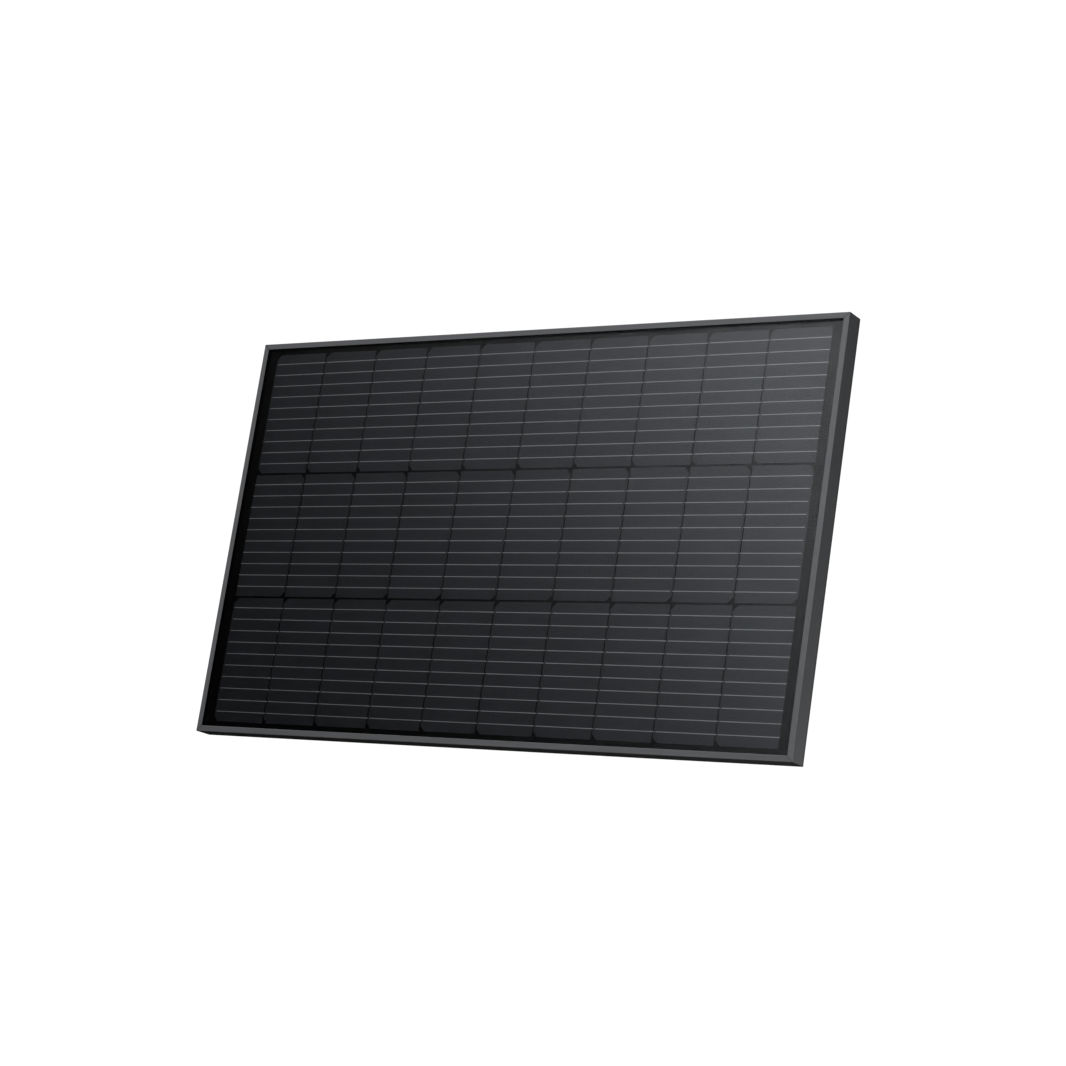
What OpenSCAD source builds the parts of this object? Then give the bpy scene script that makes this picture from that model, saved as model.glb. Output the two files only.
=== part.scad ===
// Framed photovoltaic panel, standing upright: +X along the long side, +Z up, glass towards -Y.
// The origin is the centre of the footprint of the whole panel, on its lower edge.
// Depths called "v" are counted from the front face of the frame's lip towards the back.

/* [Cells] */
// Width of a half-cut cell, along the ribbons
cell_w = 91; // [80:0.5:95]
// Height of a cell, across the ribbons
cell_h = 182; // [170:1:200]
// Gap between neighbouring cells in a row
column_gap = 1.8; // [1.5:0.1:4]
// Gap between rows
row_gap = 3; // [2:0.5:8]
// Leg of the cut on two corners of each cell
corner_cut = 7.4; // [2:0.1:10]
// Width of a ribbon
ribbon_w = 0.8; // [0.5:0.1:1.2]
// Distance between ribbons
ribbon_pitch = 17; // [12:0.5:17.5]

/* [Frame] */
// From the end cells to the frame's left and right faces
side_margin = 24.9; // [24.5:0.1:40]
// From the outer rows to the frame's top and bottom faces
edge_margin = 16.5; // [15.5:0.5:40]
// Depth of the frame, from lip to back flange
frame_d = 30; // [28:1:40]
// Width of the lip over the glass
lip_w = 8.1; // [7.5:0.1:9]
// Width of the back flange, from the frame's outer face
flange_w = 22; // [20:0.5:28]
// Thickness of the frame's walls
wall = 1.3; // [1:0.1:1.6]

/* [Glass] */
// Thickness of the front glass
glass_t = 3.2; // [2:0.1:4]

/* [Mounting] */
// Distance between the two mounting slots of a long rail
slot_spacing = 490; // [300:10:700]
// Width of a mounting slot
slot_w = 7; // [5:0.5:9]
// Length of a mounting slot, end to end
slot_l = 11; // [9.5:0.5:16]
// Distance between the two earthing holes of a long rail
earth_spacing = 800; // [720:10:840]
// Diameter of an earthing hole
earth_d = 4.2; // [3:0.1:6]

/* [Junction box] */
// Width of the box, along the panel's long side
jbox_w = 96; // [90:1:110]
// Height of the box
jbox_h = 84; // [80:1:100]
// Bore of the cable seals
cable_bore_d = 5.8; // [5:0.1:6.4]

/* [Hidden] */
rows = 3;
columns = 10;
ribbons_per_cell = 10;
$fn = 48;

// Whole panel
row_pitch = cell_h + row_gap;
column_pitch = cell_w + column_gap;
panel_w = columns * column_pitch - column_gap + 2 * side_margin;
panel_h = rows * row_pitch - row_gap + 2 * edge_margin;
front_y = -frame_d / 2;
back_y = frame_d / 2;

// Layers behind the lip, as depths v
seal_front_t = 0.2;
encapsulant_t = 0.4;
ribbon_t = 0.2;
cell_t = 0.2;
backing_t = 0.5;
backsheet_t = 0.3;
seal_back_t = 0.5;
glass_v = wall + seal_front_t;
encapsulant_v = glass_v + glass_t;
ribbon_v = encapsulant_v + encapsulant_t;
cell_v = ribbon_v + ribbon_t;
back_ribbon_v = cell_v + cell_t;
backing_v = back_ribbon_v + ribbon_t;
backsheet_v = backing_v + backing_t;
laminate_end_v = backsheet_v + backsheet_t;
groove_end_v = laminate_end_v + seal_back_t;
laminate_inset = wall + 1.2;
glass_corner_cut = 1.5;

// Frame
front_bevel = 0.5;
inner_bevel = 0.35;
back_bevel = 0.6;
line_v = frame_d - 3.4;
line_w = 0.8;
line_deep = 0.4;
mitre_gap = 0.06;
flange_u = (lip_w + flange_w) / 2;
key_fit = 0.1;
key_leg = 45;
key_notch_r = 0.9;
drain_l = 8;
drain_w = 3;
drain_x = panel_w / 2 - flange_w - 14;

// Bus ribbons at the ends of the rows
bus_w = 4.5;
bus_inner = panel_w / 2 - side_margin + 2;
bus_outer = bus_inner + bus_w + 2.6;
bus_end = bus_outer + bus_w;
return_z = lip_w + 2;
mask_t = 0.2;
mask_gap = 0.3;

// Junction box, centred on the end of the middle row
jbox_x = -panel_w / 2 + flange_w + 22 + jbox_w / 2;
jbox_z = panel_h / 2;
pad_t = 1;
jbox_wall = 2.2;
jbox_floor = 2;
jbox_corner_r = 5;
jbox_y = front_y + laminate_end_v + pad_t;
rim_y = 7.4;
gasket_t = 0.95;
lid_y = rim_y + 1;
lid_t = 2;
lid_fit = 0.4;
skirt_t = 1.8;
skirt_l = 2;
lid_bevel = 0.7;
lid_groove_in = 9;
lid_groove_w = 1.6;
lid_field_in = 16;
lid_relief = 0.6;
lead_pitch = 20;
lead_w = 5;
lead_rise_x = jbox_x - jbox_w / 2 + 11;
slot_half_x = 5;
slot_half_z = 26;
insulation_t = 0.1;
plate_w = 12;
plate_t = 1;
plate_y = jbox_y + jbox_floor + 2;
plate_x = lead_rise_x + 7;
plate_l = 42;
screw_r = 1.5;
screw_head_r = 2.8;
diode_r = 2.4;
diode_lead_r = 0.5;

// Hinge of the lid
pin_r = 1.2;
knuckle_r = 2.8;
hinge_y = 4.4;
hinge_z = jbox_z + jbox_h / 2 + 3.6;
base_knuckle_x = 22;
knuckle_w = 8;
knuckle_gap = 0.3;
latch_x = 20;
latch_w = 14;
latch_y = 2.4;

// Cable glands, on the side of the box that faces the panel's middle
gland_dz = 22;
spigot_r = 5.8;
spigot_l = 10;
collar_r = 7.2;
collar_t = 1.6;
seal_r = 4.4;
seal_l = 8;
nut_r = 7.4;
nut_l = 10;
nut_end_t = 2.5;

// Blank rating label
label_w = 90;
label_h = 60;
label_t = 0.1;

function two_digits(n) = n < 10 ? str("0", n) : str(n);
function cell_name(row, column) = str("cell_r", row, "_c", two_digits(column));
function ribbons_name(row) = str("string_ribbons_row_", row);

CELL_NODES = [for (row = [1:rows]) for (column = [1:columns]) cell_name(row, column)];

// Row 1 is the top row; its cells have their cut corners on the left, and row 2 is turned round.
function row_z(row) = panel_h - edge_margin - cell_h / 2 - (row - 1) * row_pitch;
function column_x(column) = (column - (columns + 1) / 2) * column_pitch;
function turned(row) = row % 2 == 0 ? 1 : 0;
function ribbon_z(row, n) = row_z(row) + (n - (ribbons_per_cell + 1) / 2) * ribbon_pitch;
function lead_z(n) = jbox_z + (1 - n) * lead_pitch;

// ---- helpers ----

// Extrudes a flat shape drawn in X and Z between two depths, counted from the lip's front face.
module layer(from_v, to_v) {
    slab(front_y + from_v, front_y + to_v) children();
}

// Extrudes a flat shape drawn in X and Z between two values of Y.
module slab(from_y, to_y) {
    translate([0, to_y, 0]) rotate([90, 0, 0]) linear_extrude(to_y - from_y) children();
}

// A rectangle from one corner to the other.
module rectangle(x0, z0, x1, z1) {
    translate([x0, z0]) square([x1 - x0, z1 - z0]);
}

// A rectangle w wide and h high round the origin, with round corners.
module round_rectangle(w, h, r) {
    square([w - 2 * r, h], center = true);
    square([w, h - 2 * r], center = true);
    for (sx = [-1, 1]) for (sz = [-1, 1])
        translate([sx * (w / 2 - r), sz * (h / 2 - r)]) circle(r);
}

// The outline of the laminate, with its four corners cut off.
module laminate_outline() {
    x = panel_w / 2 - laminate_inset;
    low = laminate_inset;
    high = panel_h - laminate_inset;
    c = glass_corner_cut;
    polygon([[-x + c, low], [x - c, low], [x, low + c], [x, high - c],
             [x - c, high], [-x + c, high], [-x, high - c], [-x, low + c]]);
}

// A rod along X.
module rod_x(x0, x1, y, z, r) {
    translate([x0, y, z]) rotate([0, 90, 0]) cylinder(r = r, h = x1 - x0);
}

// A slot or hole through the back flange, along Y.
module flange_slot(x, length, width) {
    translate([x, 0, flange_u]) rotate([-90, 0, 0]) {
        for (side = [-1, 1]) translate([side * (length - width) / 2, 0, 0])
            cylinder(r = width / 2, h = back_y + 1);
        translate([-(length - width) / 2, -width / 2, 0])
            cube([length - width, width, back_y + 1]);
    }
}

// ---- frame ----

// Section of a rail: depth v to the right, distance u from the outer face upwards.
module rail_section() {
    difference() {
        polygon([
            [0, front_bevel], [front_bevel, 0],
            [line_v, 0], [line_v, line_deep], [line_v + line_w, line_deep], [line_v + line_w, 0],
            [frame_d - back_bevel, 0], [frame_d, back_bevel],
            [frame_d, flange_w], [frame_d - wall, flange_w], [frame_d - wall, lip_w],
            [groove_end_v, lip_w], [groove_end_v, wall], [wall, wall], [wall, lip_w],
            [inner_bevel, lip_w], [0, lip_w - inner_bevel]
        ]);
        translate([groove_end_v + wall, wall])
            square([frame_d - groove_end_v - 2 * wall, lip_w - 2 * wall]);
    }
}

// A rail of the given length along X, its outer face down, mitred at both ends.
module rail(length) {
    reach = flange_w + 1;
    half = length / 2 - mitre_gap;
    intersection() {
        translate([-length / 2, front_y, 0]) rotate([90, 0, 90])
            linear_extrude(length) rail_section();
        slab(front_y - 1, back_y + 1)
            polygon([[-half, 0], [half, 0], [half - reach, reach], [reach - half, reach]]);
    }
}

// A long rail has the mounting slots, the earthing holes and the drain slots in its flange.
module long_rail() {
    difference() {
        rail(panel_w);
        for (side = [-1, 1]) {
            flange_slot(side * slot_spacing / 2, slot_l, slot_w);
            flange_slot(side * drain_x, drain_l, drain_w);
            translate([side * earth_spacing / 2, 0, flange_u]) rotate([-90, 0, 0])
                cylinder(r = earth_d / 2, h = back_y + 1);
        }
    }
}

module frame_rail_bottom() {
    color("dimgray") long_rail();
}

module frame_rail_top() {
    color("dimgray") translate([0, 0, panel_h]) mirror([0, 0, 1]) long_rail();
}

module frame_rail_left() {
    color("dimgray") translate([-panel_w / 2, 0, panel_h / 2]) rotate([0, 90, 0]) rail(panel_h);
}

module frame_rail_right() {
    color("dimgray") mirror([1, 0, 0]) frame_rail_left();
}

// One L-shaped key in the chambers of the bottom and left rails, with staking notches.
module corner_key() {
    near = wall + key_fit;
    far = lip_w - wall - key_fit;
    tip = 1.2;
    translate([-panel_w / 2, 0, 0])
        layer(groove_end_v + wall + key_fit, frame_d - wall - key_fit)
            difference() {
                polygon([[near, near], [key_leg - tip, near], [key_leg, near + tip], [key_leg, far],
                         [far, far], [far, key_leg], [near + tip, key_leg], [near, key_leg - tip]]);
                for (along = [18, 32]) {
                    translate([along, far]) circle(key_notch_r);
                    translate([far, along]) circle(key_notch_r);
                }
            }
}

module corner_keys() {
    color("silver") for (flip_x = [0, 1]) for (flip_z = [0, 1])
        mirror([flip_x, 0, 0]) translate([0, 0, flip_z * panel_h]) mirror([0, 0, flip_z])
            corner_key();
}

// A ring of sealant that fills the groove round the laminate's edge.
module edge_sealant() {
    inner = lip_w - 0.5;
    color("black") difference() {
        layer(wall, groove_end_v)
            rectangle(-panel_w / 2 + wall, wall, panel_w / 2 - wall, panel_h - wall);
        layer(0, frame_d)
            rectangle(-panel_w / 2 + inner, inner, panel_w / 2 - inner, panel_h - inner);
        layer(glass_v, laminate_end_v) laminate_outline();
    }
}

// ---- laminate ----

module front_glass() {
    color("lightblue", 0.3) layer(glass_v, encapsulant_v) laminate_outline();
}

// A black mask that hides the bus ribbons, let into the back of the front encapsulant.
module mask() {
    edge = panel_w / 2 - side_margin + mask_gap;
    for (side = [0, 1]) mirror([side, 0, 0])
        layer(ribbon_v - mask_t, ribbon_v)
            rectangle(edge, return_z - 1, bus_end + 1, panel_h - edge_margin);
    layer(ribbon_v - mask_t, ribbon_v)
        rectangle(-edge, return_z - 1, edge, return_z + bus_w + 0.6);
}

module bus_mask() {
    color("black") mask();
}

module front_encapsulant() {
    color("white", 0.3) difference() {
        layer(encapsulant_v, ribbon_v) laminate_outline();
        mask();
    }
}

// A half-cut cell: two corners cut off, on the left in rows 1 and 3 and on the right in row 2.
module cell(row, column) {
    x = cell_w / 2;
    z = cell_h / 2;
    c = corner_cut;
    color("midnightblue") translate([column_x(column), 0, row_z(row)]) mirror([turned(row), 0, 0])
        layer(cell_v, cell_v + cell_t)
            polygon([[-x + c, -z], [x, -z], [x, z], [-x + c, z], [-x, z - c], [-x, c - z]]);
}

// A ribbon from the front of one cell, down through the gap, to the back of the next.
module link_ribbon(x) {
    over = cell_w - 3;
    start = x + cell_w / 2;
    next = start + column_gap;
    polygon([
        [start - over, ribbon_v], [start + 0.5, ribbon_v], [next - 0.3, back_ribbon_v],
        [next + over, back_ribbon_v], [next + over, backing_v],
        [next - 0.5, backing_v], [start + 0.3, cell_v], [start - over, cell_v]
    ]);
}

// The ten ribbons of one line of cells; the ends reach out to the bus ribbons.
module ribbon_line(near_end, far_end) {
    first = column_x(1) - cell_w / 2;
    over = cell_w - 3;
    translate([0, front_y, -ribbon_w / 2]) linear_extrude(ribbon_w) {
        for (column = [1:columns - 1]) link_ribbon(column_x(column));
        translate([-near_end, back_ribbon_v]) square([near_end + first + over, ribbon_t]);
        translate([-first - over, ribbon_v]) square([far_end + first + over, ribbon_t]);
    }
}

module string_ribbons(row) {
    near_end = row == 1 ? bus_end : bus_inner + bus_w;
    far_end = bus_inner + bus_w;
    color("silver") for (n = [1:ribbons_per_cell])
        translate([0, 0, ribbon_z(row, n)]) mirror([turned(row), 0, 0])
            ribbon_line(near_end, far_end);
}

// Row 1 feeds the upper lead, rows 1 and 2 join on the right, rows 2 and 3 join on the left,
// and the far end of row 3 comes back under the cells to the lower lead.
module bus_ribbons() {
    reach = (ribbons_per_cell - 1) * ribbon_pitch / 2 + 3;
    color("silver") layer(cell_v, cell_v + cell_t) {
        rectangle(-bus_end, lead_z(0) - lead_w / 2, -bus_outer, row_z(1) + reach);
        rectangle(bus_inner, row_z(2) - reach, bus_inner + bus_w, row_z(1) + reach);
        rectangle(-bus_inner - bus_w, row_z(3) - reach, -bus_inner, row_z(2) + reach);
        rectangle(bus_inner, return_z, bus_inner + bus_w, row_z(3) + reach);
        rectangle(-bus_end, return_z, bus_inner, return_z + bus_w);
        rectangle(-bus_end, return_z + bus_w, -bus_outer, lead_z(2) + lead_w / 2);
    }
}

// A flat lead: on the bus ribbon, over the insulation, up through the slot and onto its terminal.
module output_lead(start, end_of_bus) {
    lead_v = backing_v + insulation_t;
    top = plate_y + plate_t - front_y;
    polygon([
        [start, back_ribbon_v], [end_of_bus, back_ribbon_v], [end_of_bus + 0.8, lead_v],
        [lead_rise_x + ribbon_t, lead_v], [lead_rise_x + ribbon_t, top],
        [plate_x + 8, top], [plate_x + 8, top + ribbon_t], [lead_rise_x, top + ribbon_t],
        [lead_rise_x, lead_v + ribbon_t], [end_of_bus + 0.6, lead_v + ribbon_t],
        [end_of_bus - 0.2, backing_v], [start, backing_v]
    ]);
}

module output_leads() {
    color("silver") for (n = [0:2])
        translate([0, front_y, lead_z(n) - lead_w / 2]) linear_extrude(lead_w)
            if (n == 1) output_lead(-bus_inner - bus_w, -bus_inner);
            else output_lead(-bus_end, -bus_outer);
}

// The pocket in the rear encapsulant that holds the insulation and the leads.
module lead_pocket() {
    layer(back_ribbon_v, backing_v + insulation_t + ribbon_t)
        rectangle(-bus_end - 0.5, jbox_z - slot_half_z, lead_rise_x + slot_half_x, jbox_z + slot_half_z);
}

// The slot that the leads come through.
module lead_slot(grow) {
    layer(back_ribbon_v, frame_d)
        rectangle(lead_rise_x - slot_half_x - grow, jbox_z - slot_half_z - grow,
                  lead_rise_x + slot_half_x + grow, jbox_z + slot_half_z + grow);
}

module lead_insulation() {
    inner = -bus_inner + 1.2;
    color("black") layer(backing_v, backing_v + insulation_t) {
        rectangle(inner, jbox_z - slot_half_z, lead_rise_x - 1, jbox_z + slot_half_z);
        for (n = [0, 2])
            rectangle(-bus_outer + 1.2, lead_z(n) - lead_w / 2 - 2, inner, lead_z(n) + lead_w / 2 + 2);
    }
}

module rear_encapsulant() {
    color("white", 0.3) difference() {
        layer(backing_v, backsheet_v) laminate_outline();
        lead_pocket();
        lead_slot(0);
    }
}

module backsheet() {
    color([0.1, 0.1, 0.1]) difference() {
        layer(backsheet_v, laminate_end_v) laminate_outline();
        lead_slot(0);
    }
}

module rating_label() {
    color("lightgray") translate([jbox_x + jbox_w + 120, 0, jbox_z + 80])
        layer(laminate_end_v, laminate_end_v + label_t) round_rectangle(label_w, label_h, 2);
}

// ---- junction box ----

module box_outline(inset) {
    translate([jbox_x, jbox_z])
        round_rectangle(jbox_w - 2 * inset, jbox_h - 2 * inset, jbox_corner_r - inset);
}

module jbox_adhesive() {
    color("black") difference() {
        slab(jbox_y - pad_t, jbox_y) box_outline(1.5);
        lead_slot(2);
    }
}

// The holes for the two gland bodies, in the wall that faces the panel's middle.
module gland_holes() {
    x = jbox_x + jbox_w / 2;
    for (side = [-1, 1])
        rod_x(x - jbox_wall - 1, x + 1, 0, jbox_z + side * gland_dz, spigot_r + 0.02);
}

module at_screws() {
    for (n = [0:2]) for (dx = [14, plate_l - 5])
        translate([plate_x + dx, plate_y, lead_z(n)]) rotate([90, 0, 0]) children();
}

// Wedge-shaped noses that the lid's latch windows snap over.
module latch_noses() {
    z = jbox_z - jbox_h / 2;
    for (side = [-1, 1]) translate([jbox_x + side * latch_x - 4, 0, z])
        rotate([90, 0, 90]) linear_extrude(8)
            polygon([[latch_y + 1.4, 0.5], [latch_y + 1.4, -1.5], [latch_y + 3.4, 0], [latch_y + 3.4, 0.5]]);
}

module jbox_base() {
    color("black") difference() {
        union() {
            difference() {
                slab(jbox_y, rim_y) box_outline(0);
                slab(jbox_y + jbox_floor, rim_y + 1) box_outline(jbox_wall);
                lead_slot(1);
            }
            at_screws() cylinder(r = 3, h = plate_y - jbox_y - jbox_floor + 0.5);
            for (side = [-1, 1]) base_knuckle(side);
            latch_noses();
        }
        gland_holes();
        rod_x(jbox_x - jbox_w / 2, jbox_x + jbox_w / 2, hinge_y, hinge_z, pin_r + 0.02);
        at_screws() translate([0, 0, -1]) cylinder(r = screw_r + 0.02, h = 4);
    }
}

// One of the base's two hinge knuckles, joined to the upper wall.
module base_knuckle(side) {
    x0 = jbox_x + (side > 0 ? base_knuckle_x : -base_knuckle_x - knuckle_w);
    top = jbox_z + jbox_h / 2;
    rod_x(x0, x0 + knuckle_w, hinge_y, hinge_z, knuckle_r);
    translate([x0, hinge_y - knuckle_r, top - 1]) cube([knuckle_w, 2 * knuckle_r, hinge_z - top + 1]);
}

// The lid's knuckle sits just inside the base's, on an arm from the lid's upper edge.
module lid_knuckle(side) {
    inner = base_knuckle_x - knuckle_gap - knuckle_w;
    x0 = jbox_x + (side > 0 ? inner : -inner - knuckle_w);
    top = jbox_z + jbox_h / 2;
    rod_x(x0, x0 + knuckle_w, hinge_y, hinge_z, knuckle_r);
    translate([x0, hinge_y, hinge_z - knuckle_r])
        cube([knuckle_w, lid_y + lid_t - hinge_y, 2 * knuckle_r]);
    translate([x0, lid_y, top - 4]) cube([knuckle_w, lid_t, hinge_z - top + 4]);
}

// A tongue on the lid's lower edge, with the window that takes the nose.
module latch_tongue(side) {
    z = jbox_z - jbox_h / 2 - lid_fit - skirt_t;
    difference() {
        translate([jbox_x + side * latch_x - latch_w / 2, latch_y, z])
            cube([latch_w, lid_y - latch_y + 0.5, skirt_t]);
        translate([jbox_x + side * latch_x - 4.5, latch_y + 1.2, z - 1])
            cube([9, 2.6, skirt_t + 2]);
    }
}

module jbox_lid() {
    out = lid_fit + skirt_t;
    color("black") difference() {
        union() {
            lid_plate(out);
            difference() {
                slab(lid_y - skirt_l, lid_y + 0.5) translate([jbox_x, jbox_z]) lid_outline(out);
                slab(lid_y - skirt_l - 1, lid_y) translate([jbox_x, jbox_z]) lid_inside();
            }
            for (side = [-1, 1]) {
                lid_knuckle(side);
                latch_tongue(side);
            }
        }
        rod_x(jbox_x - jbox_w / 2, jbox_x + jbox_w / 2, hinge_y, hinge_z, pin_r + 0.05);
    }
}

// The lid's plate: a bevel on three sides, a groove round it and a sunk blank field in the middle.
module lid_plate(out) {
    face = lid_y + lid_t;
    w = jbox_w + 2 * (out - lid_groove_in);
    h = jbox_h + 2 * (out - lid_groove_in);
    sink = lid_groove_in - lid_field_in;
    translate([jbox_x, 0, jbox_z]) difference() {
        hull() {
            slab(lid_y, face - lid_bevel) lid_outline(out, $fn = 32);
            slab(lid_y, face) lid_outline(out - lid_bevel, $fn = 32);
        }
        slab(face - lid_relief, face + 1) difference() {
            round_rectangle(w, h, 4);
            round_rectangle(w - 2 * lid_groove_w, h - 2 * lid_groove_w, 4 - lid_groove_w);
        }
        slab(face - lid_relief / 2, face + 1) round_rectangle(w + 2 * sink, h + 2 * sink, 2);
    }
}

// The lid reaches past the base on three sides and ends flush with it on the hinge side.
module lid_outline(out) {
    difference() {
        round_rectangle(jbox_w + 2 * out, jbox_h + 2 * out, jbox_corner_r + out);
        rectangle(-jbox_w, jbox_h / 2, jbox_w, jbox_h);
    }
}

// The room inside the lid's skirt, open on the hinge side.
module lid_inside() {
    round_rectangle(jbox_w + 2 * lid_fit, jbox_h + 2 * lid_fit, jbox_corner_r + lid_fit);
    rectangle(-jbox_w / 2 - lid_fit, 0, jbox_w / 2 + lid_fit, jbox_h);
}

module lid_gasket() {
    color("dimgray") slab(rim_y, rim_y + gasket_t) difference() {
        box_outline(0.2);
        box_outline(jbox_wall);
    }
}

module hinge_pin() {
    reach = base_knuckle_x + knuckle_w;
    color("silver") rod_x(jbox_x - reach, jbox_x + reach, hinge_y, hinge_z, pin_r);
}

module terminal_plates() {
    color("goldenrod") for (n = [0:2])
        difference() {
            slab(plate_y, plate_y + plate_t)
                rectangle(plate_x, lead_z(n) - plate_w / 2, plate_x + plate_l, lead_z(n) + plate_w / 2);
            at_screws() translate([0, 0, -3]) cylinder(r = screw_r + 0.2, h = 6);
        }
}

module terminal_screws() {
    color("silver") at_screws() translate([0, 0, -plate_t]) {
        cylinder(r = screw_r, h = plate_t + 2);
        difference() {
            translate([0, 0, -1.8]) cylinder(r = screw_head_r, h = 1.8);
            translate([-screw_head_r, -0.35, -2]) cube([2 * screw_head_r, 0.7, 1]);
        }
    }
}

// Two diodes, each in the space between two terminals with its wires on both.
module bypass_diodes() {
    body_l = lead_pitch - plate_w - 1.6;
    reach = lead_pitch - plate_w + 8;
    y = plate_y + plate_t + diode_lead_r;
    color("dimgray") for (n = [0, 1])
        translate([plate_x + 26, y, (lead_z(n) + lead_z(n + 1)) / 2]) {
            cylinder(r = diode_r, h = body_l, center = true);
            cylinder(r = diode_lead_r, h = reach, center = true);
        }
}

// A tube through the wall of the box, with a hexagonal collar outside and a seat for the seal.
module gland_bodies() {
    x = jbox_x + jbox_w / 2;
    color("black") for (side = [-1, 1]) {
        z = jbox_z + side * gland_dz;
        difference() {
            union() {
                rod_x(x - jbox_wall, x + spigot_l, 0, z, spigot_r);
                translate([x, 0, z]) rotate([0, 90, 0]) cylinder(r = collar_r, h = collar_t, $fn = 6);
            }
            rod_x(x - jbox_wall - 1, x + spigot_l + 1, 0, z, cable_bore_d / 2 + 0.4);
            rod_x(x + spigot_l - seal_l, x + spigot_l + 1, 0, z, seal_r + 0.05);
        }
    }
}

module gland_nuts() {
    x = jbox_x + jbox_w / 2;
    end_x = x + spigot_l + nut_end_t;
    color("black") for (side = [-1, 1]) {
        z = jbox_z + side * gland_dz;
        difference() {
            translate([end_x - nut_l, 0, z]) rotate([0, 90, 0])
                cylinder(r = nut_r, h = nut_l, $fn = 6);
            rod_x(end_x - nut_l - 1, x + spigot_l + 0.1, 0, z, spigot_r + 0.05);
            rod_x(x + spigot_l, end_x + 1, 0, z, cable_bore_d / 2 + 0.4);
        }
    }
}

module gland_seals() {
    x = jbox_x + jbox_w / 2 + spigot_l;
    color("dimgray") for (side = [-1, 1]) {
        z = jbox_z + side * gland_dz;
        difference() {
            rod_x(x - seal_l, x, 0, z, seal_r);
            rod_x(x - seal_l - 1, x + 1, 0, z, cable_bore_d / 2);
        }
    }
}

frame_rail_top();
frame_rail_bottom();
frame_rail_left();
frame_rail_right();
corner_keys();
edge_sealant();
front_glass();
front_encapsulant();
for (row = [1:rows]) for (column = [1:columns])
    cell(row, column);
for (row = [1:rows])
    string_ribbons(row);
bus_ribbons();
bus_mask();
output_leads();
lead_insulation();
rear_encapsulant();
backsheet();
rating_label();
jbox_adhesive();
jbox_base();
jbox_lid();
lid_gasket();
hinge_pin();
terminal_plates();
terminal_screws();
bypass_diodes();
gland_bodies();
gland_nuts();
gland_seals();
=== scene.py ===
import math

import bpy
from mathutils import Matrix, Vector

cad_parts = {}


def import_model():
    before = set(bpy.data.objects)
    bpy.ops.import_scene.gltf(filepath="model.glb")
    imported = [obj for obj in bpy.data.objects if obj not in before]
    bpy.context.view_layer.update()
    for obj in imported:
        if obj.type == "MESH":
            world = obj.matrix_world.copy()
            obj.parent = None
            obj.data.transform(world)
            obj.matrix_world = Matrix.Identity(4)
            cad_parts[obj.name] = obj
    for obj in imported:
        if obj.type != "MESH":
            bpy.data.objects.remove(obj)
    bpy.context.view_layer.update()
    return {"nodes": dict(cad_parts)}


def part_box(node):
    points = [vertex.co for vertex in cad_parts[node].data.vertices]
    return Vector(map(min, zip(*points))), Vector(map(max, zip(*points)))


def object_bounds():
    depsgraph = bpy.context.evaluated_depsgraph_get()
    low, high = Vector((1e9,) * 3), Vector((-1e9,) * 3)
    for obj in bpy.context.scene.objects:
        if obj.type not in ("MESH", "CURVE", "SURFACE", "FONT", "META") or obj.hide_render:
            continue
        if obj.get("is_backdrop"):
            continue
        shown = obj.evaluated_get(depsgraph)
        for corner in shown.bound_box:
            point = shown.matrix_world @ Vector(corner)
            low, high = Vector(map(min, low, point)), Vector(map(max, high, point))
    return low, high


# Camera: it stands in front and to the right of the panel and looks slightly up at it.
LOOK_AT = Vector((0.0487, -0.0153, 0.2931))
CAMERA_AZIMUTH = math.radians(35.67)
CAMERA_RISE = math.radians(12.64)
CAMERA_ROLL = math.radians(8.74)
CAMERA_DISTANCE = 3.557
LENS_MM = 89.2
SENSOR_MM = 36.0

# Area lights: name, place, target, power in watts and size in metres.
AREA_LIGHTS = (
    ("back_fill", (-1.6, 2.4, 2.2), (0.0, 0.0, 0.3), 60.0, 2.4),
    ("low_right", (1.2, 0.5, -0.3), (0.4, 0.0, 0.2), 4.6, 0.5),
)

# World: how the soft box in front grows upwards and falls towards the left, angles in radians.
LIGHT_COLOUR = (0.985, 1.0, 1.03)
BACKGROUND_LEVEL = 1.05
BOX_START = 2.728
BOX_PER_RISE = 4.6
BOX_PER_LEFTWARD = 5.3
BOX_TOP = 1.44
BELOW_LEVEL = 0.32

# Floor: its height, its radius, how many sides its edge has, and where it fades out, in metres.
FLOOR_Z = -1.0
FLOOR_RADIUS = 20.0
FLOOR_SIDES = 64
FLOOR_FADE = (3.0, 16.0)

# What the anti-reflective coat leaves of the glass's reflection. The rest of what a black
# surface under the glass reflects comes from where it meets the clear film.
GLASS_IOR = 1.46
COATED_SHARE = 0.28
UNDER_FILM_IOR = 1.41
UNDER_FILM_ROUGHNESS = 0.15

# Light crosses up to twelve faces of glass and film on its way to a black surface and back,
# and twice that many are allowed.
CLEAR_CROSSINGS = 24

# How far the clear films are drawn in, in metres, so that no face of theirs lies in a face that
# they touch.
FILM_INSET = 0.00003

# Sizes of what the materials draw, in metres. An edge is where a line starts and ends to fade.
RIBBON_PITCH = 0.017
RIDGE_EDGE = (0.0002, 0.0016)
RIDGE_ROW_EDGE = (0.0780, 0.0785)
FINGER_PITCH = 0.0015
FINGER_EDGE = (0.00002, 0.00007)
CELL_RIM = 0.0012
MITRE_EDGE = (0.0004, 0.0008)
ROUNDED_EDGE = 0.0005
BORDER_INSET = 0.003
BORDER_EDGE = (0.0003, 0.00045)
RULE_HEIGHTS = (0.013, -0.011)
RULE_EDGE = (0.00015, 0.0003)
BAND_INSET = 0.0035
BAND_EDGE = (0.0006, 0.0008)

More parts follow.
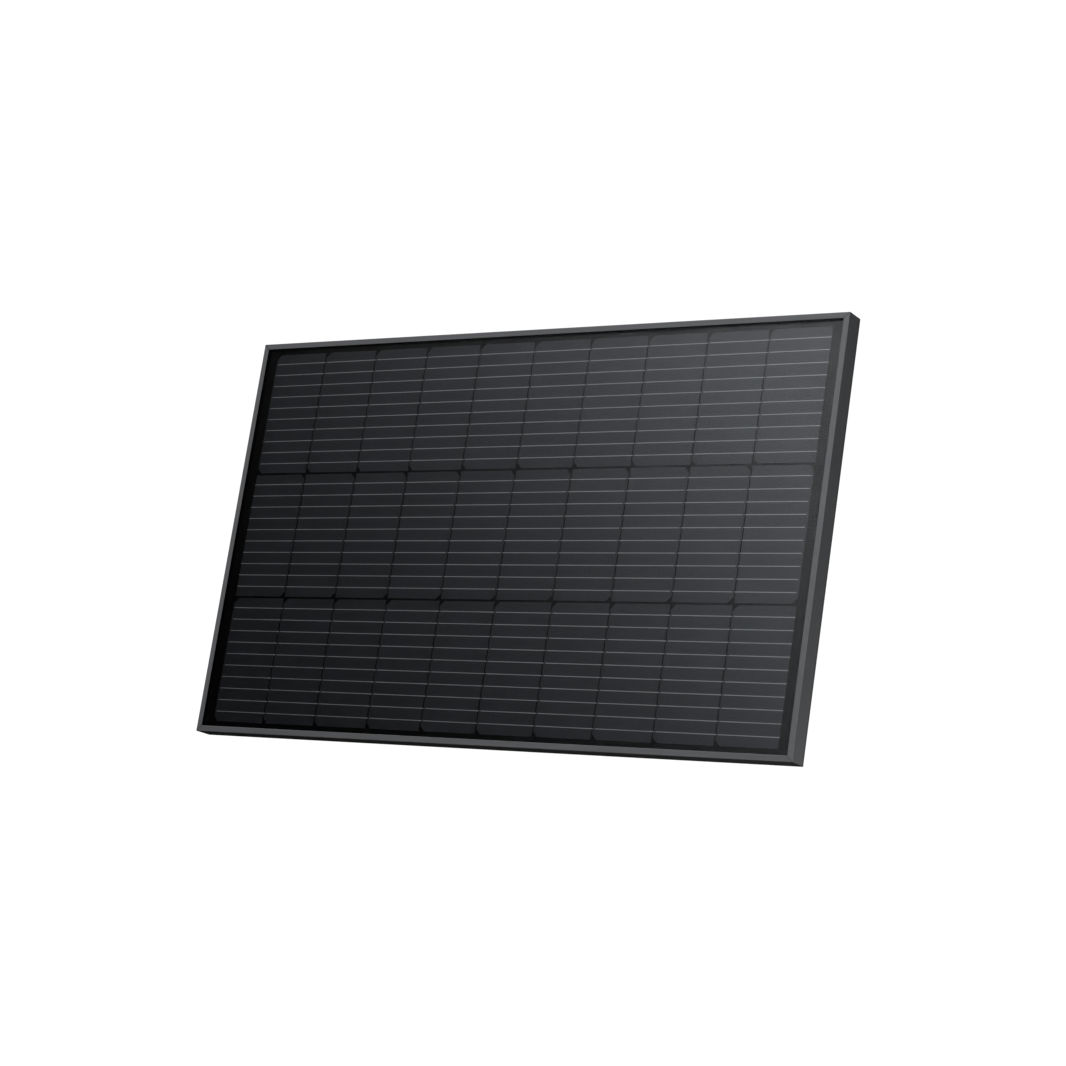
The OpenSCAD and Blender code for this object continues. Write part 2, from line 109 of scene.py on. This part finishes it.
# Colours. Where there are two, a pattern blends from the first to the second.
ANODISED = ((0.118, 0.120, 0.1225), (0.132, 0.134, 0.1365))
# Painted highlight colour for the slanted edge faces of the frame.
EDGE_HIGHLIGHT = (0.30, 0.30, 0.303)
# Colour of the dark line along each mitre.
MITRE_DARK_LINE = (0.02, 0.02, 0.02)
BARE_ALUMINIUM = ((0.55, 0.55, 0.56), (0.74, 0.74, 0.75))
SEALANT = ((0.006, 0.006, 0.006), (0.012, 0.012, 0.013))
GLASS_TINT = ((0.968, 0.973, 0.975), (0.979, 0.983, 0.985))
FILM_TINT = ((0.988, 0.988, 0.986), (1.0, 1.0, 1.0))
SILICON = ((0.0019, 0.0021, 0.0029), (0.0026, 0.0028, 0.0038))
SILICON_RIM = (0.0007, 0.0008, 0.0014)
SILICON_SHEEN = (0.88, 0.91, 1.0, 1.0)
FINGER = (0.03, 0.031, 0.032)
TINNED = ((0.27, 0.275, 0.28), (0.365, 0.37, 0.375))
DEEP_BLACK = ((0.0002, 0.0002, 0.0002), (0.0005, 0.0005, 0.0005))
BACKSHEET_SKIN = ((0.019, 0.0192, 0.020), (0.030, 0.0302, 0.031))
LABEL_SILVER = ((0.40, 0.405, 0.41), (0.52, 0.525, 0.53))
LABEL_INK = (0.03, 0.03, 0.032)
PLASTIC = ((0.028, 0.028, 0.029), (0.042, 0.042, 0.043))
PLASTIC_SCUFF = (0.065, 0.065, 0.066)
RUBBER = ((0.028, 0.028, 0.029), (0.055, 0.055, 0.056))
STAINLESS = ((0.50, 0.50, 0.49), (0.66, 0.66, 0.65))
TERMINAL = ((0.58, 0.50, 0.40), (0.62, 0.40, 0.24))
EPOXY = ((0.010, 0.010, 0.011), (0.018, 0.018, 0.019))
DIODE_BAND = (0.45, 0.45, 0.46)
FLOOR = ((0.80, 0.80, 0.80), (0.84, 0.84, 0.84))


# ---- node helpers ----

class Graph:
    """Adds nodes to one node tree; an input that is a socket is linked, any other is set."""

    def __init__(self, tree):
        self.tree = tree
        tree.nodes.clear()

    def add(self, kind, inputs=None, **settings):
        node = self.tree.nodes.new(kind)
        for name, value in settings.items():
            setattr(node, name, value)
        for key, value in (inputs or {}).items():
            if isinstance(value, bpy.types.NodeSocket):
                self.tree.links.new(value, node.inputs[key])
            else:
                node.inputs[key].default_value = value
        return node

    def math(self, operation, a, b=0.0):
        return self.add("ShaderNodeMath", {0: a, 1: b}, operation=operation).outputs[0]

    def times(self, a, b):
        return self.math("MULTIPLY", a, b)

    def place(self):
        """Where a point is on the part, in metres."""
        return self.add("ShaderNodeTexCoord").outputs["Object"]

    def axes(self, vector):
        return self.add("ShaderNodeSeparateXYZ", {"Vector": vector}).outputs

    def normal(self):
        """The surface's direction, as three sockets."""
        return self.axes(self.add("ShaderNodeNewGeometry").outputs["Normal"])

    def noise(self, scale, detail=2.0, stretch=(1.0, 1.0, 1.0)):
        """Noise from 0 to 1; scale is in cycles per metre, along each axis times its stretch."""
        where = self.add("ShaderNodeVectorMath", {0: self.place(), 1: stretch},
                         operation="MULTIPLY").outputs[0]
        inputs = {"Vector": where, "Scale": scale, "Detail": detail, "Roughness": 0.5}
        return self.add("ShaderNodeTexNoise", inputs).outputs["Fac"]

    def span(self, value, low, high, from_low=0.0, from_high=1.0):
        """Maps a value from one range to another, and holds it there."""
        inputs = {"Value": value, "From Min": from_low, "From Max": from_high,
                  "To Min": low, "To Max": high}
        return self.add("ShaderNodeMapRange", inputs).outputs["Result"]

    def line(self, distance, edge):
        """1 on a line and 0 beside it, from the distance to its middle."""
        return self.span(distance, 1.0, 0.0, *edge)

    def blend(self, factor, a, b):
        node = self.add("ShaderNodeMix", {"Factor": factor}, data_type="RGBA")
        for socket, value in ((node.inputs[6], a), (node.inputs[7], b)):
            if isinstance(value, bpy.types.NodeSocket):
                self.tree.links.new(value, socket)
            else:
                socket.default_value = (*value, 1.0)
        return node.outputs[2]

    def scaled(self, colour, factor):
        """A colour times a number."""
        inputs = {0: colour, "Scale": factor}
        return self.add("ShaderNodeVectorMath", inputs, operation="SCALE").outputs[0]

    def off(self, value, centre):
        """How far a value is from a centre."""
        return self.math("ABSOLUTE", self.math("SUBTRACT", value, centre))

    def within(self, value, centre, half):
        """How far a value lies inside a range, given its centre and half its width."""
        return self.math("SUBTRACT", half, self.off(value, centre))

    def margins(self, low, high):
        """How far a point lies inside a box, along X and along Z."""
        x, _, z = self.axes(self.place())
        middle = (low + high) / 2
        half = (high - low) / 2
        return self.within(x, middle.x, half.x), self.within(z, middle.z, half.z)

    def rounded(self, radius):
        """The surface's direction, rounded near sharp edges."""
        return self.add("ShaderNodeBevel", {"Radius": radius}, samples=6).outputs[0]

    def bump(self, height, depth, strength, normal=None):
        inputs = {"Height": height, "Distance": depth, "Strength": strength}
        if normal is not None:
            inputs["Normal"] = normal
        return self.add("ShaderNodeBump", inputs).outputs["Normal"]

    def surface(self, **inputs):
        """A Principled shader; the names use _ for a space."""
        named = {key.replace("_", " "): value for key, value in inputs.items()}
        return self.add("ShaderNodeBsdfPrincipled", named).outputs[0]

    def clear(self, tint=(1.0, 1.0, 1.0, 1.0)):
        return self.add("ShaderNodeBsdfTransparent", {"Color": tint}).outputs[0]

    def mixed(self, factor, first, second):
        return self.add("ShaderNodeMixShader", {0: factor, 1: first, 2: second}).outputs[0]


def material(name, build, *args):
    made = bpy.data.materials.new(name)
    made.use_nodes = True
    graph = Graph(made.node_tree)
    graph.add("ShaderNodeOutputMaterial", {"Surface": build(graph, *args)})
    return made


def dress(nodes, names, look):
    for name in names:
        slots = nodes[name].data.materials
        slots.clear()
        slots.append(look)


def draw_in(nodes, names, distance):
    for name in names:
        shrink = nodes[name].modifiers.new("draw_in", "DISPLACE")
        shrink.mid_level = 0.0
        shrink.strength = -distance


# ---- materials ----

def anodised(g, low, high, stretch, tone):
    """Dark anodised aluminium: faint lines along the rail, dark lines in the mitres, and a painted
    highlight on the slanted edges. tone scales the whole colour, to paint one rail paler than
    another as painted light.
    """
    lines = g.noise(1.0, 3.0, stretch)
    grain = g.noise(2400.0, 3.0)
    cloud = g.noise(11.0, 3.0)
    dark = g.blend(g.span(cloud, 0.0, 1.0, 0.3, 0.7), *ANODISED)
    # Painted light: a tone above 1 paints the whole rail paler.
    lined = g.scaled(dark, g.span(lines, 0.92 * tone, 1.09 * tone, 0.3, 0.7))
    across, deep, up = (g.math("ABSOLUTE", part) for part in g.normal())
    slanted = g.times(g.math("MAXIMUM", across, up), deep)
    # Painted highlight: the slanted edge faces are painted paler, in noisy patches.
    highlight_patches = g.span(g.noise(60.0, 4.0), 0.6, 1.0)
    edge_highlight = g.times(g.span(slanted, 0.0, 1.0, 0.25, 0.45), highlight_patches)
    from_mitre = g.off(*g.margins(low, high))
    in_mitre = g.span(from_mitre, 0.75, 0.0, *MITRE_EDGE)
    colour = g.blend(in_mitre, g.blend(edge_highlight, lined, EDGE_HIGHLIGHT), MITRE_DARK_LINE)
    relief = g.math("ADD", g.times(grain, 0.6), g.times(lines, 0.4))
    return g.surface(Base_Color=colour, Metallic=0.45,
                     Roughness=g.span(grain, 0.40, 0.50, 0.3, 0.7),
                     Normal=g.bump(relief, 0.00004, 0.5))


def mill_aluminium(g):
    """Sawn bare aluminium of the corner keys."""
    saw = g.noise(1.0, 3.0, (40.0, 40.0, 3000.0))
    return g.surface(Base_Color=g.blend(saw, *BARE_ALUMINIUM), Metallic=0.95,
                     Roughness=g.span(saw, 0.3, 0.5), Normal=g.bump(saw, 0.00008, 0.6))


def silicone(g):
    """Black cured sealant with a soft, slightly uneven skin."""
    lumps = g.noise(130.0, 3.0)
    dust = g.span(g.noise(1500.0, 2.0), 0.0, 1.0, 0.45, 0.75)
    return g.surface(Base_Color=g.blend(dust, *SEALANT),
                     Roughness=g.span(lumps, 0.35, 0.6, 0.3, 0.7),
                     Normal=g.bump(lumps, 0.0003, 0.6))


def solar_glass(g):
    """Low-iron glass with an anti-reflective coat: clear, with weak gloss on its outer side."""
    stipple = g.noise(320.0, 3.0)
    waves = g.noise(7.0, 2.0)
    inputs = {"Color": (1.0, 1.0, 1.0, 1.0), "Roughness": g.span(stipple, 0.16, 0.20, 0.3, 0.7),
              "Normal": g.bump(waves, 0.00003, 0.5)}
    gloss = g.add("ShaderNodeBsdfAnisotropic", inputs).outputs[0]
    behind = g.add("ShaderNodeNewGeometry").outputs["Backfacing"]
    fresnel = g.add("ShaderNodeFresnel", {"IOR": GLASS_IOR}).outputs[0]
    share = g.times(g.times(fresnel, COATED_SHARE), g.math("SUBTRACT", 1.0, behind))
    return g.mixed(share, g.clear(g.blend(waves, *GLASS_TINT)), gloss)


def encapsulant(g):
    """Clear laminated film with a trace of haze."""
    return g.clear(g.blend(g.noise(90.0, 3.0), *FILM_TINT))


def silicon_cell(g, corner, pitch, size):
    """Coated silicon: each cell has its own tone, fine fingers across it and darker edges."""
    x, _, z = g.axes(g.place())
    parts = [g.math("DIVIDE", g.math("SUBTRACT", value, start), step)
             for value, start, step in zip((x, z), corner, pitch)]
    number = {n: g.math("FLOOR", part) for n, part in enumerate(parts)}
    which = g.add("ShaderNodeCombineXYZ", number)
    own = g.add("ShaderNodeTexWhiteNoise", {"Vector": which.outputs[0]}).outputs["Value"]
    edges = [g.within(g.times(g.math("FRACT", part), step), length / 2, length / 2)
             for part, step, length in zip(parts, pitch, size)]
    rim = g.span(g.math("MINIMUM", *edges), 0.35, 0.0, 0.0, CELL_RIM)
    cloudy = g.scaled(g.blend(own, *SILICON), g.span(g.noise(24.0, 4.0), 0.9, 1.1, 0.3, 0.7))
    fingers = g.line(g.math("PINGPONG", x, FINGER_PITCH / 2), FINGER_EDGE)
    colour = g.blend(g.times(fingers, 0.35), g.blend(rim, cloudy, SILICON_RIM), FINGER)
    texture = g.noise(4200.0, 2.0)
    return g.surface(Base_Color=colour, Roughness=g.span(texture, 0.26, 0.33, 0.3, 0.7),
                     Specular_IOR_Level=0.39, Specular_Tint=SILICON_SHEEN, Coat_Weight=1.0,
                     Coat_Roughness=UNDER_FILM_ROUGHNESS, Coat_IOR=UNDER_FILM_IOR,
                     Normal=g.bump(texture, 0.00001, 0.1))


def tinned_ribbon(g):
    """Flat copper ribbon with a thin tin coat, slightly uneven along its length."""
    streak = g.noise(1.0, 3.0, (55.0, 900.0, 2500.0))
    return g.surface(Base_Color=g.blend(streak, *TINNED), Metallic=0.9,
                     Roughness=g.span(streak, 0.28, 0.42, 0.3, 0.7),
                     Normal=g.bump(streak, 0.00006, 0.6))


def black_film(g):
    """Thin black film over the bus ribbons and under the output leads."""
    mesh = g.noise(700.0, 3.0)
    roughness = g.span(mesh, UNDER_FILM_ROUGHNESS - 0.02, UNDER_FILM_ROUGHNESS + 0.02)
    return g.surface(Base_Color=g.blend(mesh, *DEEP_BLACK), IOR=UNDER_FILM_IOR,
                     Roughness=roughness, Normal=g.bump(mesh, 0.000005, 0.3))


def backsheet(g, row_z, row_pitch):
    """Black film: smooth inside the laminate, embossed outside, faint ridges over the ribbons."""
    outer = g.span(g.normal()[1], 0.0, 1.0)
    emboss = g.noise(850.0, 3.0)
    creases = g.noise(16.0, 4.0, (1.0, 1.0, 2.2))
    z = g.axes(g.place())[2]
    row = g.math("ADD", g.math("DIVIDE", g.math("SUBTRACT", z, row_z), row_pitch), 0.5)
    local = g.times(g.math("SUBTRACT", g.math("FRACT", row), 0.5), row_pitch)
    half_pitch = RIBBON_PITCH / 2
    near = g.math("PINGPONG", g.math("ADD", local, half_pitch), half_pitch)
    in_row = g.line(g.math("ABSOLUTE", local), RIDGE_ROW_EDGE)
    ridges = g.times(g.line(near, RIDGE_EDGE), in_row)
    relief = g.math("ADD", g.times(emboss, 0.25), g.times(ridges, 0.4))
    colour = g.blend(outer, g.blend(emboss, *DEEP_BLACK), g.blend(emboss, *BACKSHEET_SKIN))
    rough = g.span(emboss, 0.45, 0.6, 0.3, 0.7)
    shine = g.add("ShaderNodeMix", {"Factor": outer, "A": UNDER_FILM_ROUGHNESS, "B": rough})
    normal = g.bump(g.math("ADD", relief, creases), 0.0004, g.times(outer, 0.5))
    return g.surface(Base_Color=colour, Roughness=shine.outputs[0],
                     IOR=g.span(outer, UNDER_FILM_IOR, 1.5), Normal=normal)


def blank_label(g, low, high):
    """A blank silver label: a dark border line and two thin rules, and no lettering."""
    middle = (low.z + high.z) / 2
    z = g.axes(g.place())[2]
    inset = g.math("MINIMUM", *g.margins(low, high))
    inside = g.span(inset, 0.0, 1.0, BORDER_INSET, BORDER_INSET + 0.0002)
    ink = g.line(g.off(inset, BORDER_INSET), BORDER_EDGE)
    for height in RULE_HEIGHTS:
        rule = g.line(g.off(z, middle + height), RULE_EDGE)
        ink = g.math("MAXIMUM", ink, g.times(rule, inside))
    brushed = g.noise(1.0, 3.0, (30.0, 30.0, 2600.0))
    colour = g.blend(ink, g.blend(brushed, *LABEL_SILVER), LABEL_INK)
    return g.surface(Base_Color=colour, Metallic=0.4, Roughness=g.span(brushed, 0.35, 0.5),
                     Normal=g.bump(brushed, 0.00003, 0.5))


def moulded_plastic(g):
    """Black moulded plastic with a spark-eroded texture and a few paler scuffs."""
    spark = g.noise(1700.0, 3.0)
    scuff = g.span(g.noise(70.0, 5.0, (1.0, 1.0, 3.0)), 0.0, 1.0, 0.6, 0.8)
    colour = g.blend(g.times(scuff, 0.5), g.blend(spark, *PLASTIC), PLASTIC_SCUFF)
    return g.surface(Base_Color=colour, Roughness=g.span(spark, 0.34, 0.5, 0.3, 0.7),
                     Normal=g.bump(spark, 0.00012, 0.7, g.rounded(ROUNDED_EDGE)))


def soft_rubber(g):
    """Grey-black rubber of the lid gasket and the gland seals."""
    bloom = g.noise(240.0, 4.0)
    pores = g.noise(2200.0, 2.0)
    return g.surface(Base_Color=g.blend(bloom, *RUBBER), Roughness=g.span(bloom, 0.7, 0.85),
                     Normal=g.bump(pores, 0.00008, 0.6))


def stainless(g):
    """Turned stainless steel of the hinge pin and the terminal screws."""
    turned = g.noise(1.0, 2.0, (2600.0, 2600.0, 120.0))
    return g.surface(Base_Color=g.blend(turned, *STAINLESS), Metallic=1.0,
                     Roughness=g.span(turned, 0.24, 0.42), Normal=g.bump(turned, 0.00003, 0.5))


def terminal_metal(g):
    """Stamped copper alloy with a patchy tin coat."""
    patch = g.span(g.noise(260.0, 4.0), 0.0, 1.0, 0.35, 0.7)
    stamped = g.noise(1.0, 2.0, (1800.0, 200.0, 60.0))
    return g.surface(Base_Color=g.blend(patch, *TERMINAL), Metallic=1.0,
                     Roughness=g.span(stamped, 0.28, 0.46), Normal=g.bump(stamped, 0.00004, 0.5))


def diode_epoxy(g, low, high):
    """Black diode bodies, with a pale band near the outer end of each."""
    z = g.axes(g.place())[2]
    grain = g.noise(1800.0, 2.0)
    bands = [g.line(g.off(z, middle), BAND_EDGE)
             for middle in (low.z + BAND_INSET, high.z - BAND_INSET)]
    colour = g.blend(g.math("MAXIMUM", *bands), g.blend(grain, *EPOXY), DIODE_BAND)
    return g.surface(Base_Color=colour, Roughness=g.span(grain, 0.3, 0.42),
                     Normal=g.bump(grain, 0.00003, 0.5))


def studio_floor(g):
    """Plain pale floor with a trace of mottle; it fades into the white background far away."""
    near = g.surface(Base_Color=g.blend(g.noise(3.0, 4.0), *FLOOR), Roughness=0.9,
                     Specular_IOR_Level=0.1)
    away = g.add("ShaderNodeVectorMath", {0: g.place()}, operation="LENGTH").outputs["Value"]
    return g.mixed(g.span(away, 0.0, 1.0, *FLOOR_FADE), near, g.clear())


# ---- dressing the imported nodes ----

def dress_frame(nodes):
    """The lines run along each rail, and the short rails are a little paler than the long ones:
    painted light, standing in for the side light that their lines reflect.
    """
    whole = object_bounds()
    dress(nodes, ["frame_rail_top", "frame_rail_bottom"],
          material("anodised_long", anodised, *whole, (4.0, 900.0, 900.0), 1.0))
    # Painted light: the short rails get a colour 1.09 times paler.
    dress(nodes, ["frame_rail_left", "frame_rail_right"],
          material("anodised_short_painted_paler", anodised, *whole, (900.0, 900.0, 4.0), 1.09))
    dress(nodes, ["corner_keys"], material("mill_aluminium", mill_aluminium))
    dress(nodes, ["edge_sealant", "jbox_adhesive"], material("silicone", silicone))


def dress_laminate(nodes):
    """The pattern of the cells is measured from the lowest cell on the left and its neighbours."""
    low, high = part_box("cell_r3_c01")
    pitch = (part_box("cell_r3_c02")[0].x - low.x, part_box("cell_r2_c01")[0].z - low.z)
    size = (high.x - low.x, high.z - low.z)
    cells = sorted(name for name in nodes if name.startswith("cell_"))
    ribbons = sorted(name for name in nodes if name.startswith("string_ribbons_row_"))
    films = ["front_encapsulant", "rear_encapsulant"]
    dress(nodes, ["front_glass"], material("solar_glass", solar_glass))
    dress(nodes, films, material("encapsulant_film", encapsulant))
    draw_in(nodes, films, FILM_INSET)
    dress(nodes, cells, material("silicon_cell", silicon_cell, (low.x, low.z), pitch, size))
    dress(nodes, [*ribbons, "bus_ribbons", "output_leads"],
          material("tinned_ribbon", tinned_ribbon))
    dress(nodes, ["bus_mask", "lead_insulation"], material("black_film", black_film))
    dress(nodes, ["backsheet"],
          material("backsheet_film", backsheet, (low.z + high.z) / 2, pitch[1]))


def dress_back(nodes):
    dress(nodes, ["rating_label"], material("label_film", blank_label, *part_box("rating_label")))
    dress(nodes, ["jbox_base", "jbox_lid", "gland_bodies", "gland_nuts"],
          material("moulded_plastic", moulded_plastic))
    dress(nodes, ["lid_gasket", "gland_seals"], material("soft_rubber", soft_rubber))
    dress(nodes, ["hinge_pin", "terminal_screws"], material("stainless_steel", stainless))
    dress(nodes, ["terminal_plates"], material("terminal_metal", terminal_metal))
    dress(nodes, ["bypass_diodes"],
          material("diode_epoxy", diode_epoxy, *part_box("bypass_diodes")))


# ---- studio ----

def make_camera():
    data = bpy.data.cameras.new("camera")
    data.lens = LENS_MM
    data.sensor_width = SENSOR_MM
    camera = bpy.data.objects.new("camera", data)
    bpy.context.scene.collection.objects.link(camera)
    turn = Matrix.Rotation(CAMERA_AZIMUTH, 4, "Z")
    tilt = Matrix.Rotation(math.pi / 2 + CAMERA_RISE, 4, "X")
    roll = Matrix.Rotation(CAMERA_ROLL, 4, "Z")
    aim = turn @ tilt @ roll
    back = aim @ Vector((0.0, 0.0, 1.0))
    camera.matrix_world = Matrix.Translation(LOOK_AT + back * CAMERA_DISTANCE) @ aim
    bpy.context.scene.camera = camera


def make_floor():
    """A disc that the camera sees, but that throws no light up at the panel."""
    angles = [2 * math.pi * n / FLOOR_SIDES for n in range(FLOOR_SIDES)]
    ring = [(FLOOR_RADIUS * math.cos(a), FLOOR_RADIUS * math.sin(a), FLOOR_Z) for a in angles]
    mesh = bpy.data.meshes.new("floor")
    mesh.from_pydata(ring, [], [list(range(FLOOR_SIDES))])
    mesh.materials.append(material("studio_floor", studio_floor))
    floor = bpy.data.objects.new("floor", mesh)
    floor.visible_glossy = False
    floor.visible_diffuse = False
    bpy.context.scene.collection.objects.link(floor)
    floor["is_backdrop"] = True


def soft_box(g, x, y, z):
    """Light from in front: it fades out towards the left and low down, where the room is dark."""
    leftward = g.math("ARCTAN2", g.times(x, -1.0), g.times(y, -1.0))
    grown = g.math("ADD", g.times(g.math("ARCSINE", z), BOX_PER_RISE), BOX_START)
    ramp = g.math("SUBTRACT", grown, g.times(leftward, BOX_PER_LEFTWARD))
    box = g.math("POWER", g.span(ramp, 0.0, BOX_TOP, 0.0, BOX_TOP), 2.0)
    ahead = g.span(y, 1.0, 0.0, -0.45, -0.05)
    not_right = g.span(x, 1.0, 0.15, 0.0, 0.5)
    return g.times(g.times(box, ahead), not_right)


def room_light(g, x, y, z):
    """Weaker light from the right, from above, and from behind on the left."""
    right = g.times(g.span(x, 0.0, 0.15, -0.1, 0.6), g.span(z, 1.0, 0.0, 0.0, 0.3))
    above = g.span(z, 0.0, 1.3, 0.45, 1.0)
    back_left = g.times(g.span(y, 0.0, 0.8, 0.0, 0.5), g.span(x, 1.0, 0.0, -0.1, 0.15))
    back_above = g.times(back_left, g.span(z, 0.0, 1.0, 0.0, 0.3))
    behind = g.math("MAXIMUM", g.span(y, 0.0, 0.05, -0.2, 0.2), back_above)
    return g.math("MAXIMUM", right, g.math("MAXIMUM", behind, above))


def light_from_below(g, y, z):
    """A band low in front, which the glass mirrors to a camera that looks down at it."""
    lower = g.span(z, 0.0, BELOW_LEVEL, -0.78, -0.52)
    upper = g.span(z, BELOW_LEVEL, 0.0, -0.5, -0.22)
    return g.times(g.math("MINIMUM", lower, upper), g.span(y, 1.0, 0.0, -0.3, 0.1))


def make_world():
    """White behind the object; for lighting, a soft box in front and weaker light elsewhere."""
    world = bpy.data.worlds.new("studio")
    world.use_nodes = True
    bpy.context.scene.world = world
    g = Graph(world.node_tree)
    x, y, z = g.axes(g.add("ShaderNodeTexCoord").outputs["Generated"])
    level = g.math("MAXIMUM", soft_box(g, x, y, z), room_light(g, x, y, z))
    dimmed = g.times(level, g.span(z, 0.04, 1.0, -0.25, 0.02))
    lit = g.math("MAXIMUM", dimmed, light_from_below(g, y, z))
    light = g.add("ShaderNodeBackground", {"Color": (*LIGHT_COLOUR, 1.0), "Strength": lit})
    white = g.add("ShaderNodeBackground",
                  {"Color": (1.0, 1.0, 1.0, 1.0), "Strength": BACKGROUND_LEVEL})
    seen = g.add("ShaderNodeLightPath").outputs["Is Camera Ray"]
    shown = g.mixed(seen, light.outputs[0], white.outputs[0])
    g.add("ShaderNodeOutputWorld", {"Surface": shown})


def add_light(name, place, target, power, size):
    data = bpy.data.lights.new(name, "AREA")
    data.energy = power
    data.size = size
    light = bpy.data.objects.new(name, data)
    light.location = place
    aim = Vector(target) - Vector(place)
    light.rotation_euler = aim.to_track_quat("-Z", "Y").to_euler()
    bpy.context.scene.collection.objects.link(light)


def main():
    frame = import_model()
    make_camera()
    make_world()
    make_floor()
    for light in AREA_LIGHTS:
        add_light(*light)
    dress_frame(frame["nodes"])
    dress_laminate(frame["nodes"])
    dress_back(frame["nodes"])
    bpy.context.scene.view_settings.view_transform = "Standard"
    bpy.context.scene.cycles.transparent_max_bounces = CLEAR_CROSSINGS


main()
